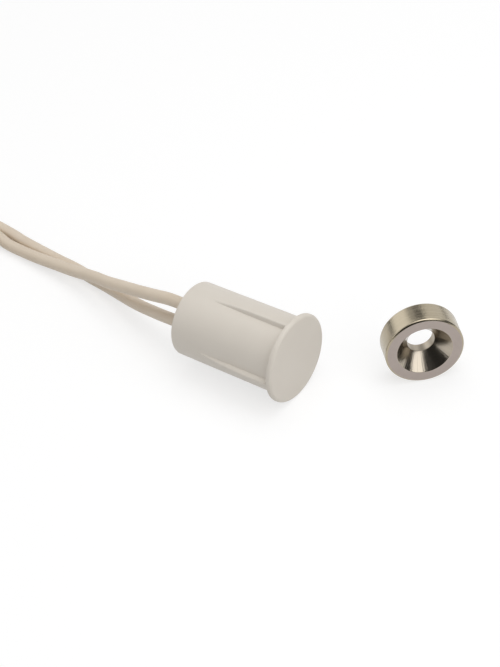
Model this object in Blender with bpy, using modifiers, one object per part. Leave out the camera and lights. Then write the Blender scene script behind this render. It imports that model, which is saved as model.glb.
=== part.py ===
# Recessed magnetic contact: a flanged plug with a reed switch potted inside, two leads, and its magnet.
# Metres. +X points out of the flange's face, +Z is up, and the origin is the centre of that face.
# The switch lies on its flange rim, as it would on a table, and the magnet stands beside it.

import math

import bmesh
import bpy
from mathutils import Matrix, Vector

# Housing, moulded in one: flange, barrel and crush ribs
BARREL_RADIUS = 0.0047625
BARREL_LENGTH = 0.0146
BARREL_WALL = 0.0008
FLANGE_RADIUS = 0.00555
FLANGE_THICKNESS = 0.0007
FACE_WALL = 0.0013
FLANGE_FRONT_ROUND = 0.0003
FLANGE_BACK_ROUND = 0.00012
REAR_ROUND = 0.0002
BARREL_DRAFT = 0.00005  # the barrel's radius is this much smaller at its rear end
RIB_COUNT = 4
RIB_ANGLE = math.radians(3.7)  # of the first rib, from straight up towards -Y
RIB_LENGTH = 0.0128
RIB_FLANGE_WIDTH = 0.00086
RIB_TAIL_WIDTH = 0.0006
RIB_CREST_WIDTH = 0.00046
RIB_HEIGHT = 0.00066
RIB_ROUND = 0.00014
RIB_ROOT = 0.0003  # how far a rib reaches into the wall that it grows from

# Reed switch
GLASS_RADIUS = 0.0009
GLASS_LENGTH = 0.0070
GLASS_WALL = 0.0002
GLASS_SEAL = 0.0010
GLASS_END_ROUND = 0.0005
REED_WIRE_RADIUS = 0.0002
BLADE_WIDTH = 0.0009
BLADE_THICKNESS = 0.00015
BLADE_OVERLAP = 0.0006
BLADE_ROUND = 0.00003
CONTACT_GAP = 0.0001
GLASS_STANDOFF = 0.0004  # straight wire between the glass and the front bend

# Leads and how they are joined to the reeds
LEAD_RADIUS = 0.0008
LEAD_OFFSET = 0.0015  # each lead's distance above or below the barrel's axis
CORE_RADIUS = 0.00038
SOLDER_RADIUS = 0.00065
SOLDER_LENGTH = 0.0016
SOLDER_ROUND = 0.0003
SOLDER_STANDOFF = 0.0004  # reed wire between the epoxy's front and a solder joint

# Epoxy that closes the barrel's rear
POTTING_RECESS = 0.0004
POTTING_DISH = 0.00015

# Ring magnet
MAGNET_RADIUS = 0.0047625
MAGNET_THICKNESS = 0.003175
MAGNET_HOLE_RADIUS = 0.001675
COUNTERSINK_RADIUS = 0.003375
COUNTERSINK_DEPTH = 0.00198
MAGNET_EDGE_ROUND = 0.00015
MAGNET_X = 0.0107
MAGNET_Y = 0.0105
MAGNET_YAW = math.radians(-44.7)

# Coil of the leads' spare length, and its tie
COIL_X = -0.0642
COIL_Y = -0.006875
COIL_INNER_RADIUS = 0.00345
OUTER_TURN_RADIUS = 0.01305  # middle of the outermost turn
TURN_GAP = 0.00007
COIL_LAYERS = 2
COIL_EDGE_ROUND = 0.0008
TIE_ANGLE = math.radians(150)
TIE_WIDTH = 0.003
TIE_THICKNESS = 0.0003
# Radius and layer of the turns at the corners of the section that the tie goes round
TIE_TURNS = [(0.00447, 1), (0.01198, 1), (0.01249, 0), (0.00581, 0)]
TIE_WAIST = 0.00084  # the coil's reach around those turns, under the tie
TIE_INSIDE = 0.00088
TIE_OUTSIDE = 0.00116
# Its two ends, twisted together and laid on the coil
TWIST_RADIUS_ON_COIL = 0.0088
TWIST_WIDTH = 0.0024
TWIST_THICKNESS = 0.00048
TWIST_LENGTH = 0.009
TWIST_TURNS = 2.25
TWIST_STEPS = 27
TWIST_BITE = 0.0001  # how far it lies in the strap

# Free ends of the leads, which leave the coil along its tangent and come down to the table
TAIL_ANGLES = {"a": math.radians(265), "b": math.radians(280)}
TAIL_DROPS = {"a": 0.0010, "b": 0.0003}
TAIL_INSULATION = 0.0030
TAIL_BARE = 0.0060

# Clearances between pieces that meet
MOULD_FIT = 0.00005
SEAL_FIT = 0.00003
BUTT_GAP = 0.0001
STRIP_GAP = 0.0002  # bare conductor between a solder joint and the insulation
CORD_GAP = 0.0003

# Places along the barrel's axis, from the face to the rear
FLOOR_Z = -FLANGE_RADIUS
SEAT_X = -FLANGE_THICKNESS
BARREL_END_X = SEAT_X - BARREL_LENGTH
CAVITY_RADIUS = BARREL_RADIUS - BARREL_WALL
CAVITY_END_X = -FACE_WALL
BEND_X = CAVITY_END_X - BUTT_GAP - REED_WIRE_RADIUS - LEAD_OFFSET
GLASS_FRONT_X = BEND_X - GLASS_STANDOFF
GLASS_REAR_X = GLASS_FRONT_X - GLASS_LENGTH
BLADE_FRONT_X = GLASS_FRONT_X - GLASS_SEAL
BLADE_REAR_X = GLASS_REAR_X + GLASS_SEAL
CONTACT_X = (BLADE_FRONT_X + BLADE_REAR_X) / 2
POTTING_FRONT_X = GLASS_REAR_X - CORD_GAP
POTTING_REAR_X = BARREL_END_X + POTTING_RECESS
SOLDER_FRONT_X = POTTING_FRONT_X - SOLDER_STANDOFF
SOLDER_X = SOLDER_FRONT_X - SOLDER_LENGTH / 2
SOLDER_REAR_X = SOLDER_FRONT_X - SOLDER_LENGTH
LEAD_START_X = SOLDER_REAR_X - STRIP_GAP
TURN_STEP = 2 * LEAD_RADIUS + TURN_GAP
INNER_TURN_RADIUS = OUTER_TURN_RADIUS - TURN_STEP  # the other lead's first turn, inside the outer one
COIL_OUTER_RADIUS = OUTER_TURN_RADIUS + LEAD_RADIUS + MOULD_FIT
COIL_BOTTOM_Z = FLOOR_Z + TIE_THICKNESS + MOULD_FIT
COIL_HEIGHT = COIL_LAYERS * (2 * LEAD_RADIUS + MOULD_FIT) + MOULD_FIT
TAIL_END_Z = FLOOR_Z + LEAD_RADIUS + MOULD_FIT
BARE_END_Z = FLOOR_Z + CORE_RADIUS + MOULD_FIT

# Each lead's route from the barrel's rear to its coil, chosen by hand: it sags to the floor,
# and lead a crosses above lead b on the way
ROUTES = {
    "a": [
        (-0.0187, 0.00005, 0.00148),
        (-0.0220, 0.00033, 0.00070),
        (-0.0248, 0.00063, 0.00000),
        (-0.0276, 0.00101, -0.00072),
        (-0.0306, 0.00146, -0.00153),
        (-0.0339, 0.00209, -0.00232),
        (-0.0378, 0.00265, -0.00332),
        (-0.0410, 0.00302, -0.00387),
        (-0.0448, 0.00327, -0.00430),
        (-0.0479, 0.00354, -0.00457),
        (-0.0511, 0.00383, -0.00462),
    ],
    "b": [
        (-0.0190, -0.00010, -0.00170),
        (-0.0231, 0.00076, -0.00270),
        (-0.0263, 0.00153, -0.00342),
        (-0.0295, 0.00242, -0.00400),
        (-0.0327, 0.00325, -0.00443),
        (-0.0357, 0.00381, -0.00468),
        (-0.0393, 0.00439, -0.00472),
        (-0.0425, 0.00466, -0.00474),
        (-0.0466, 0.00508, -0.00473),
        (-0.0495, 0.00542, -0.00471),
        (-0.0527, 0.00597, -0.00472),
    ],
}
ENTRY_RADIUS = {"a": INNER_TURN_RADIUS, "b": OUTER_TURN_RADIUS}
LEAVING_RADIUS = {"a": OUTER_TURN_RADIUS, "b": INNER_TURN_RADIUS}
SIDE = {"a": 1, "b": -1}  # lead a leaves the barrel above its axis, lead b below

# Smoothness of round pieces
BARREL_STEPS = 64
SMALL_STEPS = 24
COIL_STEPS = 48
ROUND_STEPS = 4
BEND_STEPS = 12
ROUTE_SPACING = 2.5 * 2 * LEAD_RADIUS
MERGE = 0.000001
ALONG_X = (0, math.pi / 2, 0)  # turns a piece's own axis from +Z to +X


def clearScene():
    for old in list(bpy.data.objects):
        bpy.data.objects.remove(old, do_unlink=True)


def newCollection(name):
    collection = bpy.data.collections.new(name)
    bpy.context.scene.collection.children.link(collection)
    return collection


def newMaterial(name, colour, roughness, metallic=0.0, alpha=1.0):
    material = bpy.data.materials.new(name)
    material.use_nodes = True
    shader = material.node_tree.nodes["Principled BSDF"]
    shader.inputs["Base Color"].default_value = (*colour, 1)
    shader.inputs["Roughness"].default_value = roughness
    shader.inputs["Metallic"].default_value = metallic
    shader.inputs["Alpha"].default_value = alpha
    return material


def place(name, data, collection, material=None, location=(0, 0, 0), rotation=(0, 0, 0)):
    piece = bpy.data.objects.new(name, data)
    piece.location = location
    piece.rotation_euler = rotation
    if material:
        data.materials.append(material)
    collection.objects.link(piece)
    return piece


def rounded(corners, cyclic):
    """Points of an outline whose (radius, height, round) corners are replaced by arcs."""
    points = []
    last = len(corners) - 1
    for i, (u, v, size) in enumerate(corners):
        here = Vector((u, v))
        if size == 0 or (not cyclic and i in (0, last)):
            points.append(here)
            continue
        before = (Vector(corners[i - 1][:2]) - here).normalized()
        after = (Vector(corners[(i + 1) % len(corners)][:2]) - here).normalized()
        half = before.angle(after) / 2
        reach = size / math.tan(half)
        centre = here + (before + after).normalized() * size / math.sin(half)
        start = here + before * reach - centre
        end = here + after * reach - centre
        turn = start.angle_signed(end)
        for k in range(ROUND_STEPS + 1):
            angle = -turn * k / ROUND_STEPS
            points.append(centre + Matrix.Rotation(angle, 2) @ start)
    return points


def turned(
    name, corners, steps, collection, material=None, location=(0, 0, 0), rotation=ALONG_X, cyclic=True
):
    """A solid of revolution from (radius, height, round) corners that run down its outer side."""
    points = rounded(corners, cyclic)
    edges = [(i, i + 1) for i in range(len(points) - 1)]
    if cyclic:
        edges.append((len(points) - 1, 0))
    mesh = bpy.data.meshes.new(name)
    mesh.from_pydata([(p.x, 0, p.y) for p in points], edges, [])
    piece = place(name, mesh, collection, material, location, rotation)
    screw = piece.modifiers.new("turn", "SCREW")
    screw.steps = steps
    screw.render_steps = steps
    screw.use_merge_vertices = True
    screw.merge_threshold = MERGE
    screw.use_smooth_shade = True
    return piece


def tube(name, points, radius, resolution, collection, material):
    """A round wire along points in world places."""
    curve = bpy.data.curves.new(name, "CURVE")
    curve.dimensions = "3D"
    curve.bevel_depth = radius
    curve.bevel_resolution = resolution
    curve.use_fill_caps = True
    spline = curve.splines.new("POLY")
    spline.points.add(len(points) - 1)
    for target, point in zip(spline.points, points):
        target.co = (*point, 1)
    return place(name, curve, collection, material)


def block(name, size, collection, material=None, location=(0, 0, 0), offset=(0, 0, 0)):
    """A box whose centre lies at offset from its own origin."""
    mesh = bpy.data.meshes.new(name)
    shape = bmesh.new()
    bmesh.ops.create_cube(shape, size=1, matrix=Matrix.Translation(offset) @ Matrix.Diagonal((*size, 1)))
    shape.to_mesh(mesh)
    shape.free()
    return place(name, mesh, collection, material, location)


def combine(piece, other, operation):
    other.hide_render = True
    other.display_type = "WIRE"
    boolean = piece.modifiers.new(other.name, "BOOLEAN")
    boolean.operation = operation
    boolean.solver = "EXACT"
    boolean.object = other


def smoothLine(points, spacing):
    """Points about one spacing apart on a smooth curve through the given ones."""
    points = [Vector(p) for p in points]
    ends = [2 * points[0] - points[1]] + points + [2 * points[-1] - points[-2]]
    line = [points[0]]
    for p0, p1, p2, p3 in zip(ends, ends[1:], ends[2:], ends[3:]):
        parts = max(1, round((p2 - p1).length / spacing))
        for k in range(1, parts + 1):
            t = k / parts
            line.append(
                p1
                + (p2 - p0) * t / 2
                + (2 * p0 - 5 * p1 + 4 * p2 - p3) * t * t / 2
                + (3 * p1 - p0 - 3 * p2 + p3) * t**3 / 2
            )
    return line


def makeRib(index, cutters):
    """One crush rib: a wedge along the barrel that is highest at the flange."""
    inner = BARREL_RADIUS - RIB_ROOT
    length = RIB_LENGTH + RIB_ROOT
    rib = block(f"rib_{index + 1}", (length, 1, RIB_ROOT + RIB_HEIGHT), cutters)
    shape = bmesh.new()
    shape.from_mesh(rib.data)
    slope = RIB_HEIGHT / RIB_LENGTH
    for vert in shape.verts:
        top = vert.co.z > 0
        width = RIB_FLANGE_WIDTH if vert.co.x > 0 else RIB_TAIL_WIDTH
        vert.co.x += SEAT_X + RIB_ROOT - length / 2
        vert.co.z = inner
        if top:
            vert.co.z = BARREL_RADIUS + slope * (RIB_LENGTH - (SEAT_X - vert.co.x))
            width = RIB_CREST_WIDTH
        vert.co.y *= width
    ridges = [
        e
        for e in shape.edges
        if min(v.co.z for v in e.verts) > inner and abs(e.verts[0].co.y - e.verts[1].co.y) < MERGE
    ]
    bmesh.ops.bevel(shape, geom=ridges, offset=RIB_ROUND, segments=2, profile=0.5, affect="EDGES")
    shape.to_mesh(rib.data)
    shape.free()
    rib.rotation_euler = (RIB_ANGLE + index * 2 * math.pi / RIB_COUNT, 0, 0)
    return rib


def makeHousing(parts, cutters):
    housing = turned(
        "housing",
        [
            (0, 0, 0),
            (FLANGE_RADIUS, 0, FLANGE_FRONT_ROUND),
            (FLANGE_RADIUS, SEAT_X, FLANGE_BACK_ROUND),
            (BARREL_RADIUS, SEAT_X, 0),
            (BARREL_RADIUS - BARREL_DRAFT, BARREL_END_X, REAR_ROUND),
            (CAVITY_RADIUS, BARREL_END_X, 0),
            (CAVITY_RADIUS, CAVITY_END_X, 0),
            (0, CAVITY_END_X, 0),
        ],
        BARREL_STEPS,
        parts,
        newMaterial("moulded ABS", (0.80, 0.78, 0.75), 0.45),
        cyclic=False,
    )
    for index in range(RIB_COUNT):
        combine(housing, makeRib(index, cutters), "UNION")


def makePotting(parts, cutters):
    """Epoxy plug with a stepped hole for each lead, its solder joint and its reed lead."""
    outer = CAVITY_RADIUS - MOULD_FIT
    plug = turned(
        "potting_plug",
        [
            (0, POTTING_FRONT_X, 0),
            (outer, POTTING_FRONT_X, 0),
            (outer, POTTING_REAR_X, 0),
            (0, POTTING_REAR_X + POTTING_DISH, 0),
        ],
        BARREL_STEPS,
        parts,
        newMaterial("epoxy", (0.62, 0.60, 0.55), 0.3),
        cyclic=False,
    )
    wire = REED_WIRE_RADIUS + SEAL_FIT
    joint = SOLDER_RADIUS + MOULD_FIT
    lead = LEAD_RADIUS + MOULD_FIT
    stepX = SOLDER_FRONT_X + MOULD_FIT
    leadX = LEAD_START_X + MOULD_FIT
    for which, side in SIDE.items():
        hole = turned(
            f"lead_hole_{which}",
            [
                (0, POTTING_FRONT_X + CORD_GAP, 0),
                (wire, POTTING_FRONT_X + CORD_GAP, 0),
                (wire, stepX, 0),
                (joint, stepX, 0),
                (joint, leadX, 0),
                (lead, leadX, 0),
                (lead, BARREL_END_X, 0),
                (0, BARREL_END_X, 0),
            ],
            SMALL_STEPS,
            cutters,
            location=(0, 0, side * LEAD_OFFSET),
            cyclic=False,
        )
        combine(plug, hole, "DIFFERENCE")


def makeReedSwitch(parts):
    alloy = newMaterial("nickel iron", (0.55, 0.52, 0.48), 0.3, 1.0)
    bore = REED_WIRE_RADIUS + SEAL_FIT
    inner = GLASS_RADIUS - GLASS_WALL
    turned(
        "reed_glass",
        [
            (bore, GLASS_FRONT_X, 0),
            (GLASS_RADIUS, GLASS_FRONT_X, GLASS_END_ROUND),
            (GLASS_RADIUS, GLASS_REAR_X, GLASS_END_ROUND),
            (bore, GLASS_REAR_X, 0),
            (bore, BLADE_REAR_X, 0),
            (inner, BLADE_REAR_X, GLASS_WALL),
            (inner, BLADE_FRONT_X, GLASS_WALL),
            (bore, BLADE_FRONT_X, 0),
        ],
        SMALL_STEPS,
        parts,
        newMaterial("glass", (0.55, 0.72, 0.60), 0.05, alpha=0.4),
        location=(0, 0, LEAD_OFFSET),
    )
    # A blade's origin is its hinge, where it leaves the glass seal
    for end, rootX, way in (("front", BLADE_FRONT_X, -1), ("rear", BLADE_REAR_X, 1)):
        reach = abs(CONTACT_X - rootX) + BLADE_OVERLAP / 2 - BUTT_GAP
        level = -way * (CONTACT_GAP + BLADE_THICKNESS) / 2
        blade = block(
            f"reed_blade_{end}",
            (reach, BLADE_WIDTH, BLADE_THICKNESS),
            parts,
            alloy,
            location=(rootX, 0, LEAD_OFFSET + level),
            offset=(way * (BUTT_GAP + reach / 2), 0, 0),
        )
        bevel = blade.modifiers.new("rolled edges", "BEVEL")
        bevel.width = BLADE_ROUND
        bevel.segments = 2
    tube(
        "reed_lead_rear",
        [(BLADE_REAR_X, 0, LEAD_OFFSET), (SOLDER_X, 0, LEAD_OFFSET)],
        REED_WIRE_RADIUS,
        3,
        parts,
        alloy,
    )
    # The front reed's lead bends back below the glass, to be joined at the rear
    bend = [math.pi * k / BEND_STEPS for k in range(BEND_STEPS + 1)]
    back = [(BEND_X + LEAD_OFFSET * math.sin(a), 0, LEAD_OFFSET * math.cos(a)) for a in bend]
    tube(
        "reed_lead_front",
        [(BLADE_FRONT_X, 0, LEAD_OFFSET), *back, (SOLDER_X, 0, -LEAD_OFFSET)],
        REED_WIRE_RADIUS,
        3,
        parts,
        alloy,
    )


def makeJoint(which, parts, solder, copper):
    """A solder joint with a reed lead in its front half and a stripped conductor in its rear half."""
    height = SIDE[which] * LEAD_OFFSET
    thin = REED_WIRE_RADIUS + SEAL_FIT
    thick = CORE_RADIUS + SEAL_FIT
    turned(
        f"solder_joint_{which}",
        [
            (thin, SOLDER_FRONT_X, 0),
            (SOLDER_RADIUS, SOLDER_FRONT_X, SOLDER_ROUND),
            (SOLDER_RADIUS, SOLDER_REAR_X, SOLDER_ROUND),
            (thick, SOLDER_REAR_X, 0),
            (thick, SOLDER_X, 0),
            (thin, SOLDER_X, 0),
        ],
        SMALL_STEPS,
        parts,
        solder,
        location=(0, 0, height),
    )
    tube(
        f"core_{which}",
        [(SOLDER_X - BUTT_GAP, 0, height), (LEAD_START_X + BUTT_GAP, 0, height)],
        CORE_RADIUS,
        3,
        parts,
        copper,
    )


def makeLead(which, parts, plastic):
    """The stretch of a lead from its solder joint to its coil."""
    height = SIDE[which] * LEAD_OFFSET
    radius = ENTRY_RADIUS[which]
    near = radius - LEAD_RADIUS
    entryX = COIL_X + math.sqrt(COIL_OUTER_RADIUS**2 - near**2) + CORD_GAP
    entryZ = COIL_BOTTOM_Z + LEAD_RADIUS + MOULD_FIT / 2
    start = [(LEAD_START_X, 0, height), (BARREL_END_X, 0, height)]
    entry = [(entryX, COIL_Y + radius, entryZ)]
    line = smoothLine(start + ROUTES[which] + entry, ROUTE_SPACING)
    tube(f"lead_{which}", line, LEAD_RADIUS, 2, parts, plastic)


def makeTail(which, parts, plastic, copper):
    """The lead's free end: insulation from the coil's edge on, then the bare conductor."""
    angle = TAIL_ANGLES[which]
    outward = Vector((math.cos(angle), math.sin(angle), 0))
    along = Vector((-math.sin(angle), math.cos(angle), 0))
    radius = LEAVING_RADIUS[which]
    foot = Vector((COIL_X, COIL_Y, 0)) + outward * radius
    near = radius - LEAD_RADIUS
    start = math.sqrt(COIL_OUTER_RADIUS**2 - near**2) + CORD_GAP
    strip = start + TAIL_INSULATION
    drop = TAIL_DROPS[which]
    ends = [
        foot + along * start + Vector((0, 0, TAIL_END_Z + drop)),
        foot + along * (start + TAIL_INSULATION / 2) + Vector((0, 0, TAIL_END_Z + drop / 3)),
        foot + along * strip + Vector((0, 0, TAIL_END_Z)),
    ]
    tube(f"lead_tail_{which}", ends, LEAD_RADIUS, 2, parts, plastic)
    bare = [
        foot + along * (strip + BUTT_GAP) + Vector((0, 0, TAIL_END_Z)),
        foot + along * (strip + TAIL_BARE) + Vector((0, 0, BARE_END_Z)),
    ]
    tube(f"core_end_{which}", bare, CORE_RADIUS, 3, parts, copper)


def makeCoil(parts, cutters, plastic):
    """The coil's outer shape, with a waist where the tie goes round it."""
    top = COIL_BOTTOM_Z + COIL_HEIGHT
    coil = turned(
        "lead_coil",
        [
            (COIL_OUTER_RADIUS, top, COIL_EDGE_ROUND),
            (COIL_OUTER_RADIUS, COIL_BOTTOM_Z, COIL_EDGE_ROUND),
            (COIL_INNER_RADIUS, COIL_BOTTOM_Z, COIL_EDGE_ROUND),
            (COIL_INNER_RADIUS, top, COIL_EDGE_ROUND),
        ],
        COIL_STEPS,
        parts,
        plastic,
        location=(COIL_X, COIL_Y, 0),
        rotation=(0, 0, 0),
    )
    waist = prism("coil_waist", tieOutline(TIE_WAIST), 3 * TIE_WIDTH, cutters)
    reach = 2 * COIL_OUTER_RADIUS
    pinch = block("coil_pinch", (reach, TIE_WIDTH + 2 * MOULD_FIT, reach), cutters, offset=(reach / 2, 0, 0))
    setAtTie(pinch)
    combine(pinch, waist, "DIFFERENCE")
    combine(coil, pinch, "DIFFERENCE")


def tieOutline(reach):
    """The line at a distance around the turns at the tie's corners, as (radius, height) points."""
    low = COIL_BOTTOM_Z + LEAD_RADIUS + MOULD_FIT / 2
    turns = [Vector((u, low + layer * (2 * LEAD_RADIUS + MOULD_FIT))) for u, layer in TIE_TURNS]
    points = []
    for i, here in enumerate(turns):
        before = here - turns[i - 1]
        after = turns[(i + 1) % len(turns)] - here
        start = Vector((-before.y, before.x)).normalized() * reach
        turn = before.angle_signed(after)
        for k in range(ROUND_STEPS + 1):
            points.append(here + Matrix.Rotation(-turn * k / ROUND_STEPS, 2) @ start)
    return points


def setAtTie(piece):
    piece.location = (COIL_X, COIL_Y, 0)
    piece.rotation_euler = (0, 0, TIE_ANGLE)


def prism(name, outline, width, collection, material=None):
    """A solid whose (radius, height) outline stands in the tie's plane."""
    mesh = bpy.data.meshes.new(name)
    shape = bmesh.new()
    face = shape.faces.new([shape.verts.new((p.x, -width / 2, p.y)) for p in outline])
    moved = bmesh.ops.extrude_face_region(shape, geom=[face])["geom"]
    bmesh.ops.translate(
        shape, verts=[v for v in moved if isinstance(v, bmesh.types.BMVert)], vec=(0, width, 0)
    )
    bmesh.ops.recalc_face_normals(shape, faces=shape.faces)
    shape.to_mesh(mesh)
    shape.free()
    piece = place(name, mesh, collection, material)
    setAtTie(piece)
    return piece


def makeTwist(cutters):
    """The tie's two ends: a flat bar that turns about its own length."""
    mesh = bpy.data.meshes.new("tie_ends")
    shape = bmesh.new()
    top = max(p.y for p in tieOutline(TIE_OUTSIDE))
    centre = Vector((TWIST_RADIUS_ON_COIL, 0, top + TWIST_WIDTH / 2 - TWIST_BITE))
    sides = [(-1, -1), (1, -1), (1, 1), (-1, 1)]
    size = Vector((TWIST_THICKNESS / 2, 0, TWIST_WIDTH / 2))
    verts = [shape.verts.new(centre + Vector((u * size.x, 0, v * size.z))) for u, v in sides]
    face = shape.faces.new(verts)
    bmesh.ops.spin(
        shape,
        geom=[face, *face.edges, *face.verts],
        cent=centre,
        axis=(0, 1, 0),
        dvec=(0, TWIST_LENGTH / TWIST_STEPS, 0),
        angle=2 * math.pi * TWIST_TURNS,
        steps=TWIST_STEPS,
    )
    bmesh.ops.triangulate(shape, faces=shape.faces)
    bmesh.ops.recalc_face_normals(shape, faces=shape.faces)
    shape.to_mesh(mesh)
    shape.free()
    ends = place("tie_ends", mesh, cutters)
    setAtTie(ends)
    return ends


def makeTie(parts, cutters):
    """The strap around the coil, with its ends twisted together."""
    black = newMaterial("tie plastic", (0.03, 0.03, 0.03), 0.5)
    tie = prism("coil_tie", tieOutline(TIE_OUTSIDE), TIE_WIDTH, parts, black)
    combine(tie, prism("tie_inside", tieOutline(TIE_INSIDE), 2 * TIE_WIDTH, cutters), "DIFFERENCE")
    combine(tie, makeTwist(cutters), "UNION")


def makeMagnet(parts):
    front = MAGNET_THICKNESS / 2
    turned(
        "magnet",
        [
            (MAGNET_RADIUS, front, MAGNET_EDGE_ROUND),
            (MAGNET_RADIUS, -front, MAGNET_EDGE_ROUND),
            (MAGNET_HOLE_RADIUS, -front, 0),
            (MAGNET_HOLE_RADIUS, front - COUNTERSINK_DEPTH, 0),
            (COUNTERSINK_RADIUS, front, 0),
        ],
        BARREL_STEPS,
        parts,
        newMaterial("nickel plating", (0.75, 0.72, 0.68), 0.2, 1.0),
        location=(MAGNET_X, MAGNET_Y, FLOOR_Z + MAGNET_RADIUS),
        rotation=(0, math.pi / 2, MAGNET_YAW),
    )


def main():
    clearScene()
    parts = newCollection("recessed magnetic contact")
    cutters = newCollection("cutters")
    plastic = newMaterial("PVC insulation", (0.76, 0.70, 0.60), 0.4)
    solder = newMaterial("solder", (0.60, 0.60, 0.62), 0.35, 1.0)
    copper = newMaterial("tinned copper", (0.72, 0.68, 0.62), 0.3, 1.0)
    makeHousing(parts, cutters)
    makePotting(parts, cutters)
    makeReedSwitch(parts)
    for which in SIDE:
        makeJoint(which, parts, solder, copper)
        makeLead(which, parts, plastic)
        makeTail(which, parts, plastic, copper)
    makeCoil(parts, cutters, plastic)
    makeTie(parts, cutters)
    makeMagnet(parts)


main()
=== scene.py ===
# Recessed magnetic contact: barrel with crush ribs, two leads, and the ring magnet that works it
# The CAD frame is in metres, +X out of the flange's face, +Z up; the dictionaries are in millimetres

import math

import bmesh
import bpy
from mathutils import Matrix, Vector, geometry, noise


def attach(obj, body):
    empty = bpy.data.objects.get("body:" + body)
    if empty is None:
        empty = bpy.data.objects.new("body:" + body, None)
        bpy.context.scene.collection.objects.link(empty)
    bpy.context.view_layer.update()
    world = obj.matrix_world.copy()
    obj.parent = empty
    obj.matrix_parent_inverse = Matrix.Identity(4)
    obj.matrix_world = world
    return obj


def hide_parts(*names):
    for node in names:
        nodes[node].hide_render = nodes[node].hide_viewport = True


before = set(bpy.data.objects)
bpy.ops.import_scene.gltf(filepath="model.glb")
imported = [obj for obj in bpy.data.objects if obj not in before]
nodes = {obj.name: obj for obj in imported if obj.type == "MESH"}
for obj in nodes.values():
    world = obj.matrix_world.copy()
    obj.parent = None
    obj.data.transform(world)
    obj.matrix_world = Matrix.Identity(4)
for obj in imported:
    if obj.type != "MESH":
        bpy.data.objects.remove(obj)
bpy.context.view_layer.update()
mm = 0.001
mergeDistance = 0.0005
sharpAngle = 40
roundSegments = 6
print("frame loaded:", len(nodes), "nodes")


# ---- helpers

# sRGB hex to the linear colour that a socket takes
def hexColour(code):
    parts = [int(code[i:i + 2], 16) / 255 for i in (1, 3, 5)]
    return (*[c / 12.92 if c <= 0.04045 else ((c + 0.055) / 1.055) ** 2.4 for c in parts], 1)


# adds a node; a socket's value is a number, a colour or another node's output
def addNode(tree, kind, settings={}, sockets={}):
    node = tree.nodes.new("ShaderNode" + kind)
    for key, value in settings.items():
        setattr(node, key, value)
    for key, value in sockets.items():
        if isinstance(value, bpy.types.NodeSocket):
            tree.links.new(value, node.inputs[key])
        else:
            node.inputs[key].default_value = value
    return node


def mixColours(tree, factor, first, second):
    mix = addNode(tree, "Mix", {"data_type": "RGBA"}, {0: factor, 6: hexColour(first), 7: hexColour(second)})
    return mix.outputs[2]


# an empty material with its shader, and object coordinates in millimetres
def startMaterial(name, values):
    material = bpy.data.materials.new(name)
    material.use_nodes = True
    tree = material.node_tree
    shader = tree.nodes["Principled BSDF"]
    for key, value in values.items():
        shader.inputs[key].default_value = value
    place = addNode(tree, "TexCoord").outputs["Object"]
    scaled = addNode(tree, "Mapping", {}, {"Vector": place, "Scale": (1000, 1000, 1000)})
    return material, tree, shader, scaled.outputs["Vector"]


def linkShader(tree, shader, links):
    for key, value in links.items():
        tree.links.new(value, shader.inputs[key])


# a finished piece from a bmesh whose sizes are in millimetres
def finishPiece(name, shape, materials, body, replaced, turn=Matrix()):
    bmesh.ops.remove_doubles(shape, verts=shape.verts, dist=mergeDistance)
    bmesh.ops.recalc_face_normals(shape, faces=shape.faces)
    mesh = bpy.data.meshes.new(name)
    shape.to_mesh(mesh)
    shape.free()
    mesh.transform(Matrix.Diagonal((mm, mm, mm, 1)) @ turn)
    mesh.shade_smooth()
    mesh.set_sharp_from_angle(angle=math.radians(sharpAngle))
    for material in materials:
        mesh.materials.append(material)
    piece = bpy.data.objects.new(name, mesh)
    bpy.context.scene.collection.objects.link(piece)
    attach(piece, body)
    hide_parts(*replaced)
    return piece


# corners (along, out, round) of an outline as wire in the XZ plane, the rounded ones bevelled
def addOutline(shape, corners, closed=False):
    verts = [shape.verts.new((along, 0, out)) for along, out, size in corners]
    pairs = list(zip(verts, verts[1:])) + ([(verts[-1], verts[0])] if closed else [])
    edges = [shape.edges.new(pair) for pair in pairs]
    for vert, (along, out, size) in zip(verts, corners):
        if size:
            bmesh.ops.bevel(shape, geom=[vert], offset=size, offset_type="OFFSET", segments=roundSegments,
                            profile=0.5, affect="VERTICES", material=-1)
    return list(shape.edges)


# spins an outline about X through the given angles, one step each
def spinThrough(shape, angles):
    last = list(shape.verts) + list(shape.edges)
    for before, after in zip(angles, angles[1:]):
        made = bmesh.ops.spin(shape, geom=last, cent=(0, 0, 0), axis=(1, 0, 0), dvec=(0, 0, 0),
                              angle=after - before, steps=1, use_merge=False, use_duplicate=False)
        last = made["geom_last"]


def evenAngles(steps):
    return [2 * math.pi * k / steps for k in range(steps + 1)]


# ---- view, light and table

camera = {
    "place": (86.731, -110.507, 126.085),
    "azimuth": 40.2287,
    "elevation": 40.8056,
    "roll": -7.1369,
    "lens": 86.36,
    "sensor": 36,
    "clipStart": 1,
}


def makeCamera():
    a, e, r = (math.radians(camera[k]) for k in ("azimuth", "elevation", "roll"))
    back = Vector((math.sin(a) * math.cos(e), -math.cos(a) * math.cos(e), math.sin(e)))
    level = Vector((math.cos(a), math.sin(a), 0))
    above = back.cross(level)
    right = level * math.cos(r) + above * math.sin(r)
    up = above * math.cos(r) - level * math.sin(r)
    lens = bpy.data.cameras.new("camera")
    lens.lens = camera["lens"]
    lens.sensor_width = camera["sensor"]
    lens.clip_start = camera["clipStart"] * mm
    eye = bpy.data.objects.new("camera", lens)
    turn = Matrix((right, up, back)).transposed().to_4x4()
    eye.matrix_world = Matrix.Translation(Vector(camera["place"]) * mm) @ turn
    bpy.context.scene.collection.objects.link(eye)
    bpy.context.scene.camera = eye


# softboxes: azimuth and elevation in degrees, distance, width and height in mm, radiance
lamps = {
    "frontTop": (-5, 50, 300, 330, 430, 1.08),
    "overhead": (100, 74, 300, 240, 240, 1.25),
    "backLeft": (170, 27, 320, 260, 200, 0.4),
    "frontLeft": (-112, 24, 320, 260, 160, 0.42),
}
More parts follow.
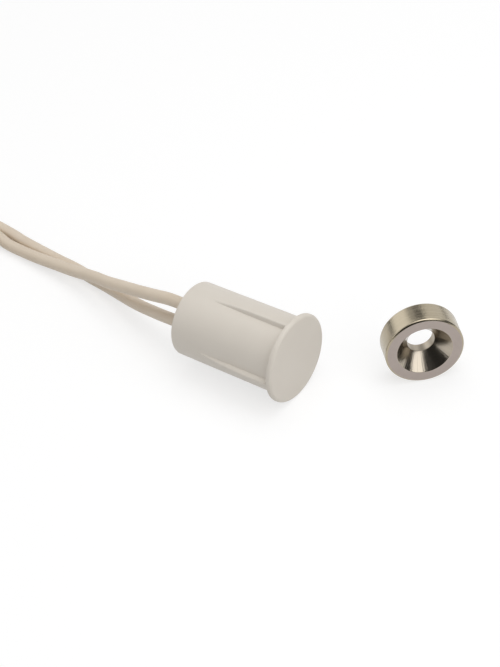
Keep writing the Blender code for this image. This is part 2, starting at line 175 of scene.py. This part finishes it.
# dark cards that only polished metal sees: azimuth from and to, elevation from and to, how light they are
cards = {
    "front": (-120, 75, -2, 22, 0.03),
    "left": (-120, -24, 22, 62, 0.03),
    "right": (24, 75, 22, 34, 0.05),
    "backRight": (108, 118, 33, 62, 0.6),
    "back": (118, 140, 33, 62, 0.1),
    "backLeft": (140, 158, 33, 62, 0.45),
    "tableEdgeLeft": (168, 188, -2, 9, 0.1),
    "tableEdgeRight": (84, 100, -2, 4, 0.15),
}
surround = {"ambient": 0.385, "cardDistance": 200, "cardCentre": (10.7, 10.5, 0), "cardStep": 5}
table = {
    "top": -5.55,
    "size": 900,
    "lightColour": "#DEDEDE",  # what it throws back on the object
    "seenColour": "#A8A8A8",   # what the picture shows under its glow
    "glow": 0.66,
    "farGlow": 1.1,
    "farFrom": (130, 330),
}


def towards(azimuth, elevation, distance):
    a, e = math.radians(azimuth), math.radians(elevation)
    return Vector((math.cos(a) * math.cos(e), math.sin(a) * math.cos(e), math.sin(e))) * distance * mm


def makeLamps():
    for name, (azimuth, elevation, distance, width, height, radiance) in lamps.items():
        lamp = bpy.data.lights.new(name, "AREA")
        lamp.shape = "RECTANGLE"
        lamp.size = width * mm
        lamp.size_y = height * mm
        lamp.energy = radiance * math.pi * lamp.size * lamp.size_y
        stand = bpy.data.objects.new(name, lamp)
        place = towards(azimuth, elevation, distance)
        stand.matrix_world = Matrix.Translation(place) @ place.to_track_quat("Z", "Y").to_matrix().to_4x4()
        bpy.context.scene.collection.objects.link(stand)


def makeWorld():
    world = bpy.data.worlds.new("studio")
    bpy.context.scene.world = world
    world.use_nodes = True
    tree = world.node_tree
    base = tree.nodes["Background"]
    base.inputs["Color"].default_value = (1, 1, 1, 1)
    level = addNode(tree, "Mix", {}, {"Factor": seenRays(tree), "A": surround["ambient"], "B": 1.0})
    tree.links.new(level.outputs[0], base.inputs["Strength"])


# 1 for camera, glossy and transmission rays, 0 for the rays that light things
def seenRays(tree):
    ray = addNode(tree, "LightPath")
    seen = ray.outputs["Is Camera Ray"]
    for kind in ("Is Glossy Ray", "Is Transmission Ray"):
        seen = addNode(tree, "Math", {"operation": "MAXIMUM"}, {0: seen, 1: ray.outputs[kind]}).outputs[0]
    return seen


def addStagePiece(name, shape, material):
    mesh = bpy.data.meshes.new(name)
    shape.to_mesh(mesh)
    shape.free()
    mesh.materials.append(material)
    piece = bpy.data.objects.new(name, mesh)
    bpy.context.scene.collection.objects.link(piece)
    return piece


# white table: bright enough to vanish in the picture, with the object's soft shadow left on it
def makeTable():
    t = table
    material, tree, shader, place = startMaterial("white table", {
        "Roughness": 0.9, "Specular IOR Level": 0.0, "Emission Color": (1, 1, 1, 1)})
    seen = seenRays(tree)
    colour = mixColours(tree, seen, t["lightColour"], t["seenColour"])
    out = addNode(tree, "VectorMath", {"operation": "LENGTH"}, {0: place})
    glow = addNode(tree, "MapRange", {"interpolation_type": "SMOOTHSTEP"}, {
        "Value": out.outputs["Value"], "From Min": t["farFrom"][0], "From Max": t["farFrom"][1],
        "To Min": t["glow"], "To Max": t["farGlow"]})
    glow = addNode(tree, "Math", {"operation": "MULTIPLY"}, {0: seen, 1: glow.outputs[0]})
    linkShader(tree, shader, {"Base Color": colour, "Emission Strength": glow.outputs[0]})
    shape = bmesh.new()
    bmesh.ops.create_grid(shape, x_segments=1, y_segments=1, size=t["size"] * mm / 2)
    bmesh.ops.translate(shape, verts=shape.verts, vec=(0, 0, t["top"] * mm))
    addStagePiece("table", shape, material)


def makeCards():
    material, tree, shader, place = startMaterial("dark card", {
        "Base Color": (0, 0, 0, 1), "Roughness": 1.0, "Specular IOR Level": 0.0, "Emission Strength": 1.0})
    level = addNode(tree, "VertexColor", {"layer_name": "level"})
    tree.links.new(level.outputs["Color"], shader.inputs["Emission Color"])
    shape = bmesh.new()
    levels = shape.verts.layers.float_color.new("level")
    for first, last, low, high, lightness in cards.values():
        count = max(1, (high - low) // surround["cardStep"])
        steps = max(1, (last - first) // surround["cardStep"])
        arc = [shape.verts.new(towards(first, low + (high - low) * k / count, surround["cardDistance"]))
               for k in range(count + 1)]
        for vert in arc:
            vert[levels] = (lightness, lightness, lightness, 1)
        edges = [shape.edges.new(pair) for pair in zip(arc, arc[1:])]
        bmesh.ops.spin(shape, geom=[*edges, *arc], cent=(0, 0, 0), axis=(0, 0, 1), dvec=(0, 0, 0),
                       angle=math.radians(last - first), steps=steps, use_merge=False, use_duplicate=False)
    bmesh.ops.translate(shape, verts=shape.verts, vec=Vector(surround["cardCentre"]) * mm)
    piece = addStagePiece("dark_cards", shape, material)
    piece.visible_camera = piece.visible_diffuse = piece.visible_transmission = piece.visible_shadow = False


makeCamera()
makeLamps()
makeWorld()
makeTable()
makeCards()
print("camera, lamps, table and cards placed")


# ---- materials
# noise scales are per mm; grain and turning lines are drawn coarser than the real ones, so that they show

# moulded ABS: warm white, satin, with the fine even grain of an eroded mould
def makeMouldedAbs():
    material, tree, shader, place = startMaterial("moulded ABS", {"Roughness": 0.46, "IOR": 1.53})
    cloud = addNode(tree, "TexNoise", {}, {"Vector": place, "Scale": 0.22, "Detail": 3.0})
    grain = addNode(tree, "TexNoise", {}, {"Vector": place, "Scale": 5.5, "Detail": 4.0, "Roughness": 0.6})
    rough = addNode(tree, "MapRange", {}, {"Value": grain.outputs[0], "To Min": 0.40, "To Max": 0.54})
    bump = addNode(tree, "Bump", {}, {"Strength": 1.0, "Distance": 0.000006, "Height": grain.outputs[0]})
    linkShader(tree, shader, {
        "Base Color": mixColours(tree, cloud.outputs[0], "#DDD5CA", "#E2DBD0"),
        "Roughness": rough.outputs[0],
        "Normal": bump.outputs[0],
    })
    return material


# extruded PVC: cream, satin, drawn slightly uneven along its length
def makeExtrudedPvc():
    material, tree, shader, place = startMaterial("extruded PVC", {"Roughness": 0.42, "IOR": 1.53})
    cloud = addNode(tree, "TexNoise", {}, {"Vector": place, "Scale": 0.35, "Detail": 3.0})
    skin = addNode(tree, "TexNoise", {}, {"Vector": place, "Scale": 3.0, "Detail": 3.0})
    bump = addNode(tree, "Bump", {}, {"Strength": 1.0, "Distance": 0.00002, "Height": skin.outputs[0]})
    rough = addNode(tree, "MapRange", {}, {"Value": skin.outputs[0], "To Min": 0.36, "To Max": 0.50})
    linkShader(tree, shader, {
        "Base Color": mixColours(tree, cloud.outputs[0], "#D9C9B4", "#E1D3C0"),
        "Roughness": rough.outputs[0],
        "Normal": bump.outputs[0],
    })
    return material


# nickel plate over a sintered magnet: the turned rim keeps fine hoops, the faces are tumbled, the cone is bright
def makeNickel(name, skin):
    rough, lineDepth = skin["rough"], skin["lineDepth"]
    material, tree, shader, place = startMaterial(name, {"Metallic": 1.0, "Roughness": rough})
    own = addNode(tree, "Mapping", {"vector_type": "TEXTURE"}, {
        "Vector": place, "Location": magnet["centre"], "Rotation": (0, 0, math.radians(magnet["yaw"]))})
    parts = addNode(tree, "SeparateXYZ", {}, {0: own.outputs[0]}).outputs
    angle = addNode(tree, "Math", {"operation": "ARCTAN2"}, {0: parts["Y"], 1: parts["Z"]}).outputs[0]
    lines = addNode(tree, "TexNoise", {"noise_dimensions": "1D"}, {
        "W": parts["X"] if skin["linesAlong"] == "axis" else angle, "Scale": skin["lineScale"], "Detail": 3.0})
    cloud = addNode(tree, "TexNoise", {}, {"Vector": place, "Scale": 1.2, "Detail": 4.0})
    wide = addNode(tree, "MapRange", {}, {"Value": cloud.outputs[0], "To Min": rough * 0.85, "To Max": rough * 1.25})
    lineBump = addNode(tree, "Bump", {}, {"Strength": 1.0, "Distance": lineDepth, "Height": lines.outputs[0]})
    grain = addNode(tree, "TexNoise", {}, {"Vector": place, "Scale": 7.0, "Detail": 3.0})
    bump = addNode(tree, "Bump", {}, {
        "Strength": 1.0, "Distance": skin["pits"], "Height": grain.outputs[0], "Normal": lineBump.outputs[0]})
    linkShader(tree, shader, {
        "Base Color": mixColours(tree, (lines if lineDepth else cloud).outputs[0], *skin["colours"]),
        "Roughness": wide.outputs[0],
        "Normal": bump.outputs[0],
    })
    return material


# cast epoxy: milky, glossy where it levelled itself
def makeCastEpoxy():
    material, tree, shader, place = startMaterial("cast epoxy", {"Roughness": 0.2, "IOR": 1.55})
    cloud = addNode(tree, "TexNoise", {}, {"Vector": place, "Scale": 0.8, "Detail": 4.0})
    bump = addNode(tree, "Bump", {}, {"Strength": 1.0, "Distance": 0.00002, "Height": cloud.outputs[0]})
    linkShader(tree, shader, {
        "Base Color": mixColours(tree, cloud.outputs[0], "#CFC9BC", "#DDD8CD"),
        "Normal": bump.outputs[0],
    })
    return material


# bare metals inside: drawn reed wire, solder and tinned strands
def makeMetal(name, first, second, rough, grainScale):
    material, tree, shader, place = startMaterial(name, {"Metallic": 1.0, "Roughness": rough})
    grain = addNode(tree, "TexNoise", {}, {"Vector": place, "Scale": grainScale, "Detail": 3.0})
    bump = addNode(tree, "Bump", {}, {"Strength": 1.0, "Distance": 0.000008, "Height": grain.outputs[0]})
    wide = addNode(tree, "MapRange", {}, {"Value": grain.outputs[0], "To Min": rough * 0.8, "To Max": rough * 1.3})
    linkShader(tree, shader, {
        "Base Color": mixColours(tree, grain.outputs[0], first, second),
        "Roughness": wide.outputs[0],
        "Normal": bump.outputs[0],
    })
    return material


# capsule glass: soda-lime, clear with a green edge
def makeCapsuleGlass():
    material, tree, shader, place = startMaterial("capsule glass", {
        "Roughness": 0.04, "IOR": 1.52, "Transmission Weight": 1.0})
    cloud = addNode(tree, "TexNoise", {}, {"Vector": place, "Scale": 1.0, "Detail": 2.0})
    linkShader(tree, shader, {"Base Color": mixColours(tree, cloud.outputs[0], "#D8ECDD", "#E6F3E8")})
    return material


# PE strip of the tie: black, satin
def makeTiePlastic():
    material, tree, shader, place = startMaterial("black polyethylene", {"Roughness": 0.38})
    grain = addNode(tree, "TexNoise", {}, {"Vector": place, "Scale": 4.0, "Detail": 3.0})
    bump = addNode(tree, "Bump", {}, {"Strength": 1.0, "Distance": 0.00002, "Height": grain.outputs[0]})
    linkShader(tree, shader, {
        "Base Color": mixColours(tree, grain.outputs[0], "#222223", "#2E2E2F"),
        "Normal": bump.outputs[0],
    })
    return material


# ---- leads: straight out of the epoxy, down to the table, then one neat coil of both

lead = {
    "radius": 0.8,
    "offset": 1.5,
    "start": -13.0,
    "exit": -14.9,
    "barrelEnd": -15.3,
    "length": 305,
    "spacing": 0.5,        # of the points along its path
    "roundSteps": 5,
}
core = {
    "radius": 0.38,
    "strands": 7,          # one in the middle, six round it
    "strandSides": 10,
    "twist": 150,
    "steps": 24,
    "hidden": 0.5,         # how far it reaches back into the insulation
}
coil = {
    "centre": (-64.2, -6.875),
    "outerTurn": 12.215,   # middle of the pair of leads in the outermost turn
    "halfPair": 0.835,
    "pitch": 3.34,
    "turns": 2.11806,      # in each of the two layers
    "change": 0.25,        # turns that a lead takes to change layer
    "low": -4.375,
    "high": -2.725,
    "stepsPerTurn": 48,
}
tail = {
    # place along the tangent, height
    "a": ((3, -2.75), (5, -3.0), (6, -3.35), (6.8, -3.7), (8.3, -4.3), (9.8, -4.7)),
    "b": ((2, -2.74), (4, -2.9), (5.4, -3.25), (6.8, -3.75), (8.2, -4.2), (9.8, -4.55), (12, -4.7)),
    "bare": 6.0,
    "bareEnd": -5.12,
    "extraTurn": 15 / 360,  # how much further the second lead runs before it leaves
}
routes = {
    "a": ((-18.7, 0.05, 1.48), (-22.0, 0.33, 0.7), (-24.8, 0.63, 0.0), (-27.6, 1.01, -0.72), (-30.6, 1.46, -1.53),
          (-33.9, 2.09, -2.32), (-37.8, 2.65, -3.32), (-41.0, 3.02, -3.87), (-44.8, 3.27, -4.3), (-47.9, 3.54, -4.57),
          (-51.1, 3.83, -4.62), (-54.9, 4.505, -4.375)),
    "b": ((-19.0, -0.1, -1.7), (-23.1, 0.76, -2.7), (-26.3, 1.53, -3.42), (-29.5, 2.42, -4.0), (-32.7, 3.25, -4.43),
          (-35.7, 3.81, -4.68), (-39.3, 4.39, -4.72), (-42.5, 4.66, -4.74), (-46.6, 5.08, -4.73),
          (-49.5, 5.42, -4.71), (-52.7, 5.97, -4.72), (-57.3, 6.175, -4.375)),
}
sides = {"a": 1, "b": -1}


def ease(t):
    t = min(1, max(0, t))
    return t * t * (3 - 2 * t)


# the coil winds inwards on the table, changes layer at its middle and winds outwards on top of itself
def coilPoints(which):
    inward, change = coil["turns"], coil["change"]
    leave = 2 * inward + change
    end = leave + (tail["extraTurn"] if which == "b" else 0)
    points = []
    steps = round(end * coil["stepsPerTurn"])
    for k in range(steps + 1):
        turn = end * k / steps
        depth = inward if inward < turn < inward + change else min(turn, leave - turn)
        swap = ease((turn - inward) / change)
        rise = ease((turn - inward) / change + sides[which])
        angle = math.pi / 2 + 2 * math.pi * turn
        radius = coil["outerTurn"] - coil["pitch"] * depth + coil["halfPair"] * (2 * swap - 1) * sides[which]
        points.append(Vector((
            coil["centre"][0] + radius * math.cos(angle),
            coil["centre"][1] + radius * math.sin(angle),
            coil["low"] + (coil["high"] - coil["low"]) * rise,
        )))
    return points, angle, radius


# the free end leaves along the tangent and comes down to the table
def tailPoints(which, angle, radius):
    along = Vector((-math.sin(angle), math.cos(angle), 0))
    foot = Vector((*coil["centre"], 0)) + Vector((math.cos(angle), math.sin(angle), 0)) * radius
    points = [foot + along * s + Vector((0, 0, z)) for s, z in tail[which]]
    tip = foot + along * (tail[which][-1][0] + tail["bare"]) + Vector((0, 0, tail["bareEnd"]))
    return points, tip


# smooth curve through the points, with a new point about every spacing
def smoothPath(points, spacing):
    ends = [2 * points[0] - points[1]] + points + [2 * points[-1] - points[-2]]
    path = [points[0]]
    for p0, p1, p2, p3 in zip(ends, ends[1:], ends[2:], ends[3:]):
        parts = max(1, round((p2 - p1).length / spacing))
        for k in range(1, parts + 1):
            t = k / parts
            path.append(p1 + (p2 - p0) * t / 2 + (2 * p0 - 5 * p1 + 4 * p2 - p3) * t * t / 2
                        + (3 * p1 - p0 - 3 * p2 + p3) * t**3 / 2)
    return path


def leadPath(which):
    height = sides[which] * lead["offset"]
    first = [Vector((lead["start"], 0, height)), Vector((lead["barrelEnd"], 0, height))]
    wound, angle, radius = coilPoints(which)
    hanging, tip = tailPoints(which, angle, radius)
    points = first + [Vector(p) for p in routes[which]] + wound + hanging
    return smoothPath(points, lead["spacing"]), tip


# a round tube along a path, made of a bevelled curve that becomes a mesh
def makeTube(name, path, radius, roundSteps, materials, replaced):
    curve = bpy.data.curves.new(name, "CURVE")
    curve.dimensions = "3D"
    curve.bevel_depth = radius
    curve.bevel_resolution = roundSteps
    curve.use_fill_caps = True
    spline = curve.splines.new("POLY")
    spline.points.add(len(path) - 1)
    for target, point in zip(spline.points, path):
        target.co = (*point, 1)
    guide = bpy.data.objects.new(name + ".guide", curve)
    bpy.context.scene.collection.objects.link(guide)
    bpy.context.view_layer.update()
    mesh = bpy.data.meshes.new_from_object(guide.evaluated_get(bpy.context.evaluated_depsgraph_get()))
    bpy.data.objects.remove(guide)
    shape = bmesh.new()
    shape.from_mesh(mesh)
    return finishPiece(name, shape, materials, "switch", replaced)


# seven tinned strands with a slight lay, from inside the insulation to the tip
def makeStrands(name, start, tip, material, replaced):
    along = tip - start
    begin = start - along.normalized() * core["hidden"]
    length = (tip - begin).length
    strand = core["radius"] / 3
    shape = bmesh.new()
    for k in range(core["strands"]):
        offset = Matrix.Identity(4)
        if k:
            offset = Matrix.Rotation(k * math.pi / 3, 4, "X") @ Matrix.Translation((0, 0, 2 * strand))
        circle = bmesh.ops.create_circle(shape, segments=core["strandSides"], radius=strand,
                                         matrix=offset @ Matrix.Rotation(math.pi / 2, 4, "Y"))
        ring = circle["verts"] + list({e for v in circle["verts"] for e in v.link_edges})
        bmesh.ops.spin(shape, geom=ring, cent=(0, 0, 0), axis=(1, 0, 0), dvec=(length / core["steps"], 0, 0),
                       angle=math.radians(core["twist"]), steps=core["steps"], use_merge=False, use_duplicate=False)
    bmesh.ops.holes_fill(shape, edges=[e for e in shape.edges if e.is_boundary], sides=0)
    turn = Matrix.Translation(begin) @ along.to_track_quat("X", "Z").to_matrix().to_4x4()
    return finishPiece(name, shape, [material], "switch", replaced, turn)


pvc = makeExtrudedPvc()
tinned = makeMetal("tinned copper", "#B9AFA2", "#CBC3B8", 0.3, 6.0)
leadPaths = []
for which in sides:
    path, tip = leadPath(which)
    leadPaths.append(path)
    strands = makeStrands("strands_" + which, path[-1], tip, tinned, ["core_end_" + which])
    insulation = makeTube("insulation_" + which, path, lead["radius"], lead["roundSteps"], [pvc],
                          ["lead_" + which, "lead_tail_" + which, "lead_coil"])
print("leads wound")


# ---- twist tie round the coil

tie = {
    "angle": 150,
    "width": 3.0,
    "thickness": 0.24,
    "ridge": 0.1,          # the wire core stands proud in the strip's middle
    "ridgeWidth": 0.7,
    "gap": 0.02,           # between the strip and the leads that it holds
    "roundSteps": 32,
    "twistPlace": 8.8,
    "twistWidth": 1.9,
    "twistLength": 9.0,
    "twistTurns": 1.75,
    "twistCuts": 10,
    "twistSteps": 60,
}


def makeTie(paths, material):
    t = tie
    centre = Vector((*coil["centre"], 0))
    place = Matrix.Translation(centre) @ Matrix.Rotation(math.radians(t["angle"]), 4, "Z")
    local = [[place.inverted() @ point for point in path] for path in paths]
    # the strip is pulled tight round every turn that passes through its plane
    reach = lead["radius"] + t["gap"]
    around = []
    for path in local:
        for p, q in zip(path, path[1:]):
            if p.y * q.y < 0 and p.x > 0:
                middle = p.lerp(q, p.y / (p.y - q.y))
                around += [(middle.x + reach * math.cos(a), middle.z + reach * math.sin(a))
                           for a in evenAngles(t["roundSteps"])]
    shape = bmesh.new()
    hull = [shape.verts.new((around[k][0], 0, around[k][1])) for k in geometry.convex_hull_2d(around)]
    loop = [shape.edges.new(pair) for pair in zip(hull, hull[1:] + hull[:1])]
    top = max(vert.co.z for vert in hull)
    for vert in hull:
        vert.co.y = -t["width"] / 2
    ridge = t["ridgeWidth"] / t["width"]
    for share in (0.5 - ridge / 2, ridge / 3, ridge / 3, ridge / 3, 0.5 - ridge / 2):
        made = bmesh.ops.extrude_edge_only(shape, edges=loop)["geom"]
        moved = [part for part in made if isinstance(part, bmesh.types.BMVert)]
        bmesh.ops.translate(shape, verts=moved, vec=(0, t["width"] * share, 0))
        loop = [part for part in made if isinstance(part, bmesh.types.BMEdge)]
    bmesh.ops.recalc_face_normals(shape, faces=shape.faces)
    for vert in shape.verts:
        if abs(vert.co.y) < t["ridgeWidth"] / 4:
            vert.co += vert.normal * t["ridge"]
    bmesh.ops.solidify(shape, geom=shape.faces, thickness=-t["thickness"])
    # both ends, twisted together and laid on the coil
    across = bmesh.ops.create_grid(shape, x_segments=1, y_segments=t["twistCuts"], size=0.5)
    ends = across["verts"]
    bmesh.ops.scale(shape, verts=ends, vec=(1, t["twistWidth"], 1))
    for vert in ends:
        wire = math.exp(-(vert.co.y / t["ridgeWidth"] * 2) ** 2)
        vert.co.x *= 1.2 * t["thickness"] + 4 * t["ridge"] * wire
    bmesh.ops.rotate(shape, verts=ends, cent=(0, 0, 0), matrix=Matrix.Rotation(math.pi / 2, 3, "X"))
    height = top + t["twistWidth"] / 2 + t["thickness"]
    bmesh.ops.translate(shape, verts=ends, vec=(t["twistPlace"], 0, height))
    flat = ends + list({e for v in ends for e in v.link_edges}) + list({f for v in ends for f in v.link_faces})
    bmesh.ops.spin(shape, geom=flat, cent=(t["twistPlace"], 0, height), axis=(0, 1, 0),
                   dvec=(0, t["twistLength"] / t["twistSteps"], 0), angle=2 * math.pi * t["twistTurns"],
                   steps=t["twistSteps"], use_merge=False, use_duplicate=False)
    return finishPiece("twist_tie", shape, [material], "switch", ["coil_tie"], place)


makeTie(leadPaths, makeTiePlastic())
print("coil tied")


# ---- housing: one moulding with a flange, a barrel and four crush ribs

housing = {
    "barrelRadius": 4.7625,
    "barrelLength": 14.6,
    "wall": 0.8,
    "flangeRadius": 5.55,
    "flangeThickness": 0.7,
    "faceWall": 1.3,
    "frontRound": 0.4,
    "backRound": 0.12,
    "seatFillet": 0.12,
    "rearRound": 0.2,
    "mouthRound": 0.1,
    "draft": 0.05,         # the rear end is this much smaller in radius
    "ribAngle": 3.7,
    "ribLength": 10.7,
    "ribHeight": 0.57,
    "ribGrowth": 2.6,      # it rises at its tail and runs on nearly level to the flange
    "ribHalfWidth": (0.26, 0.41),  # at its tail, at the flange
    # share of the half width, share of the height
    "ribSection": ((0, 1), (0.2, 0.995), (0.35, 0.965), (0.47, 0.9), (0.57, 0.8), (0.66, 0.65), (0.75, 0.45),
                   (0.83, 0.25), (0.91, 0.09), (1, 0)),
    "ribStep": 0.03,
    "lengthCuts": 40,
    "stepsBetweenRibs": 22,
}


def makeHousing(material):
    h = housing
    seat = -h["flangeThickness"]
    rear = seat - h["barrelLength"]
    inner = h["barrelRadius"] - h["wall"]
    shape = bmesh.new()
    addOutline(shape, (
        (0, 0, 0),
        (0, h["flangeRadius"], h["frontRound"]),
        (seat, h["flangeRadius"], h["backRound"]),
        (seat, h["barrelRadius"], h["seatFillet"]),
        (rear, h["barrelRadius"] - h["draft"], h["rearRound"]),
        (rear, inner, h["mouthRound"]),
        (-h["faceWall"], inner, 0),
        (-h["faceWall"], 0, 0),
    ))
    barrel = max(shape.edges, key=lambda e: e.calc_length() if e.verts[0].co.z > inner + 0.1 else 0)
    bmesh.ops.subdivide_edges(shape, edges=[barrel], cuts=h["lengthCuts"])
    # edge loops lie close on each rib, and are even between the ribs
    close = [h["ribStep"] * k / h["barrelRadius"] for k in range(round(h["ribHalfWidth"][1] / h["ribStep"]) + 3)]
    gap = math.pi / 2 - 2 * close[-1]
    steps = h["stepsBetweenRibs"]
    between = [close[-1] + gap * k / steps for k in range(1, steps)]
    quarter = close + between + [math.pi / 2 - a for a in reversed(close[1:])]
    spinThrough(shape, [q * math.pi / 2 + a for q in range(4) for a in quarter] + [2 * math.pi])
    # ribs: the skin is drawn outwards, most at the flange
    limit = h["flangeRadius"] - h["backRound"]
    for vert in shape.verts:
        x, y, z = vert.co
        radius = math.hypot(y, z)
        share = (x - seat) / h["ribLength"] + 1
        skin = h["barrelRadius"] + h["draft"] * (x - seat) / h["barrelLength"]
        if radius < skin - 0.01 or radius > skin + 2 * h["seatFillet"] or share <= 0:
            continue
        angle = math.atan2(y, z) % (math.pi / 2)
        tail, full = h["ribHalfWidth"]
        off = min(angle, math.pi / 2 - angle) * h["barrelRadius"] / (tail + (full - tail) * min(1, share))
        for (d0, s0), (d1, s1) in zip(h["ribSection"], h["ribSection"][1:]):
            if d0 <= off + 1e-6 <= d1 + 2e-6:
                section = s0 + (s1 - s0) * (off - d0) / (d1 - d0)
                lift = h["ribHeight"] * (1 - max(0, 1 - share) ** h["ribGrowth"]) * section
                grow = 1 + lift * (limit - radius) / (limit - h["barrelRadius"]) / radius
                vert.co = (x, y * grow, z * grow)
                break
    turn = Matrix.Rotation(math.radians(h["ribAngle"]), 4, "X")
    return finishPiece("moulded_housing", shape, [material], "switch", ["housing"], turn)


mouldedAbs = makeMouldedAbs()
makeHousing(mouldedAbs)
print("housing moulded")


# ---- epoxy that closes the barrel's rear

potting = {
    "radius": 3.92,
    "front": -10.8,
    "level": -14.9,
    "dish": 0.15,
    "creep": 0.12,
    "creepReach": 0.18,
    "leadCreep": 0.3,
    "leadCreepReach": 0.16,
    "ripple": 0.02,
    "rippleScale": 0.9,
    "cuts": 44,
    "steps": 96,
}


def makePotting(material):
    p = potting
    shape = bmesh.new()
    wire = addOutline(shape, (
        (p["level"], 0, 0),
        (p["level"], p["radius"], 0),
        (p["front"], p["radius"], 0),
        (p["front"], 0, 0),
    ))
    bmesh.ops.subdivide_edges(shape, edges=[wire[0]], cuts=p["cuts"])
    spinThrough(shape, evenAngles(p["steps"]))
    for vert in shape.verts:
        if abs(vert.co.x - p["level"]) > 0.001:
            continue
        x, y, z = vert.co
        radius = math.hypot(y, z)
        # it sinks at the middle, and creeps up the wall and the leads
        x += p["dish"] * (1 - (radius / p["radius"]) ** 2)
        x -= p["creep"] * math.exp((radius - p["radius"]) / p["creepReach"])
        for side in sides.values():
            gap = math.hypot(y, z - side * lead["offset"]) - lead["radius"]
            x -= p["leadCreep"] * math.exp(-max(0, gap) / p["leadCreepReach"])
        vert.co.x = x + p["ripple"] * noise.noise(Vector((y, z, 0)) * p["rippleScale"])
    return finishPiece("epoxy_plug", shape, [material], "switch", ["potting_plug"])


makePotting(makeCastEpoxy())
print("epoxy poured")


# ---- ring magnet

magnet = {
    "centre": (10.7, 10.5, -0.7875),
    "yaw": -44.7,
    "radius": 4.7625,
    "thickness": 3.175,
    "hole": 1.675,
    "sinkRadius": 3.375,
    "sinkDepth": 1.98,
    # chamfer in two facets: how far in from the rim, how far back from the face
    "chamfer": ((0, 0.2), (0.05, 0.106), (0.22, 0)),
    "chamferRound": 0.02,
    "sinkEdge": 0.04,
    "steps": 160,
}
# rim, flat faces, cone and hole; the depths of lines and pits are in metres
skins = {
    "turned": {"colours": ("#9F9480", "#BBB19C"), "rough": 0.21,
               "linesAlong": "axis", "lineScale": 7.0, "lineDepth": 0.000020, "pits": 0.000004},
    "tumbled": {"colours": ("#A69B94", "#B2A7A0"), "rough": 0.36,
                "linesAlong": "axis", "lineScale": 1.0, "lineDepth": 0.0, "pits": 0.000008},
    "countersunk": {"colours": ("#9D9486", "#BBB2A4"), "rough": 0.17,
                    "linesAlong": "angle", "lineScale": 16.0, "lineDepth": 0.000012, "pits": 0.000002},
    "bored": {"colours": ("#A69C8E", "#B2A999"), "rough": 0.34,
              "linesAlong": "angle", "lineScale": 16.0, "lineDepth": 0.000010, "pits": 0.000004},
}


def makeMagnet():
    m = magnet
    front = m["thickness"] / 2
    shape = bmesh.new()
    rounded = m["chamferRound"]
    addOutline(shape, (
        *[(front - back, m["radius"] - inwards, rounded) for inwards, back in reversed(m["chamfer"])],
        *[(back - front, m["radius"] - inwards, rounded) for inwards, back in m["chamfer"]],
        (-front, m["hole"], m["sinkEdge"]),
        (front - m["sinkDepth"], m["hole"], m["sinkEdge"]),
        (front, m["sinkRadius"], m["sinkEdge"]),
    ), closed=True)
    spinThrough(shape, evenAngles(m["steps"]))
    for face in shape.faces:
        centre = face.calc_center_median()
        radius = math.hypot(centre.y, centre.z)
        if abs(centre.x) > front - 0.002:
            face.material_index = 1
        elif radius < m["hole"] + 0.02:
            face.material_index = 3
        else:
            face.material_index = 0 if radius > m["sinkRadius"] + 0.1 else 2
    turn = Matrix.Translation(m["centre"]) @ Matrix.Rotation(math.radians(m["yaw"]), 4, "Z")
    materials = [makeNickel("nickel plate, " + name, skin) for name, skin in skins.items()]
    return finishPiece("ring_magnet", shape, materials, "switch", ["magnet"], turn)


makeMagnet()
print("magnet turned and plated")


# ---- what the housing hides keeps its CAD shape, in its own finish

def dress(name, material):
    nodes[name].data.materials.clear()
    nodes[name].data.materials.append(material)


reedAlloy = makeMetal("drawn nickel iron", "#A59E94", "#B8B1A6", 0.28, 8.0)
solderTin = makeMetal("tin solder", "#B4B4B6", "#C8C8CB", 0.32, 3.0)
dress("reed_glass", makeCapsuleGlass())
for name in ("reed_blade_front", "reed_blade_rear", "reed_lead_front", "reed_lead_rear"):
    dress(name, reedAlloy)
for which in sides:
    dress("solder_joint_" + which, solderTin)
    dress("core_" + which, tinned)
print("hidden parts finished")


view = bpy.context.scene.view_settings
view.view_transform = "Standard"
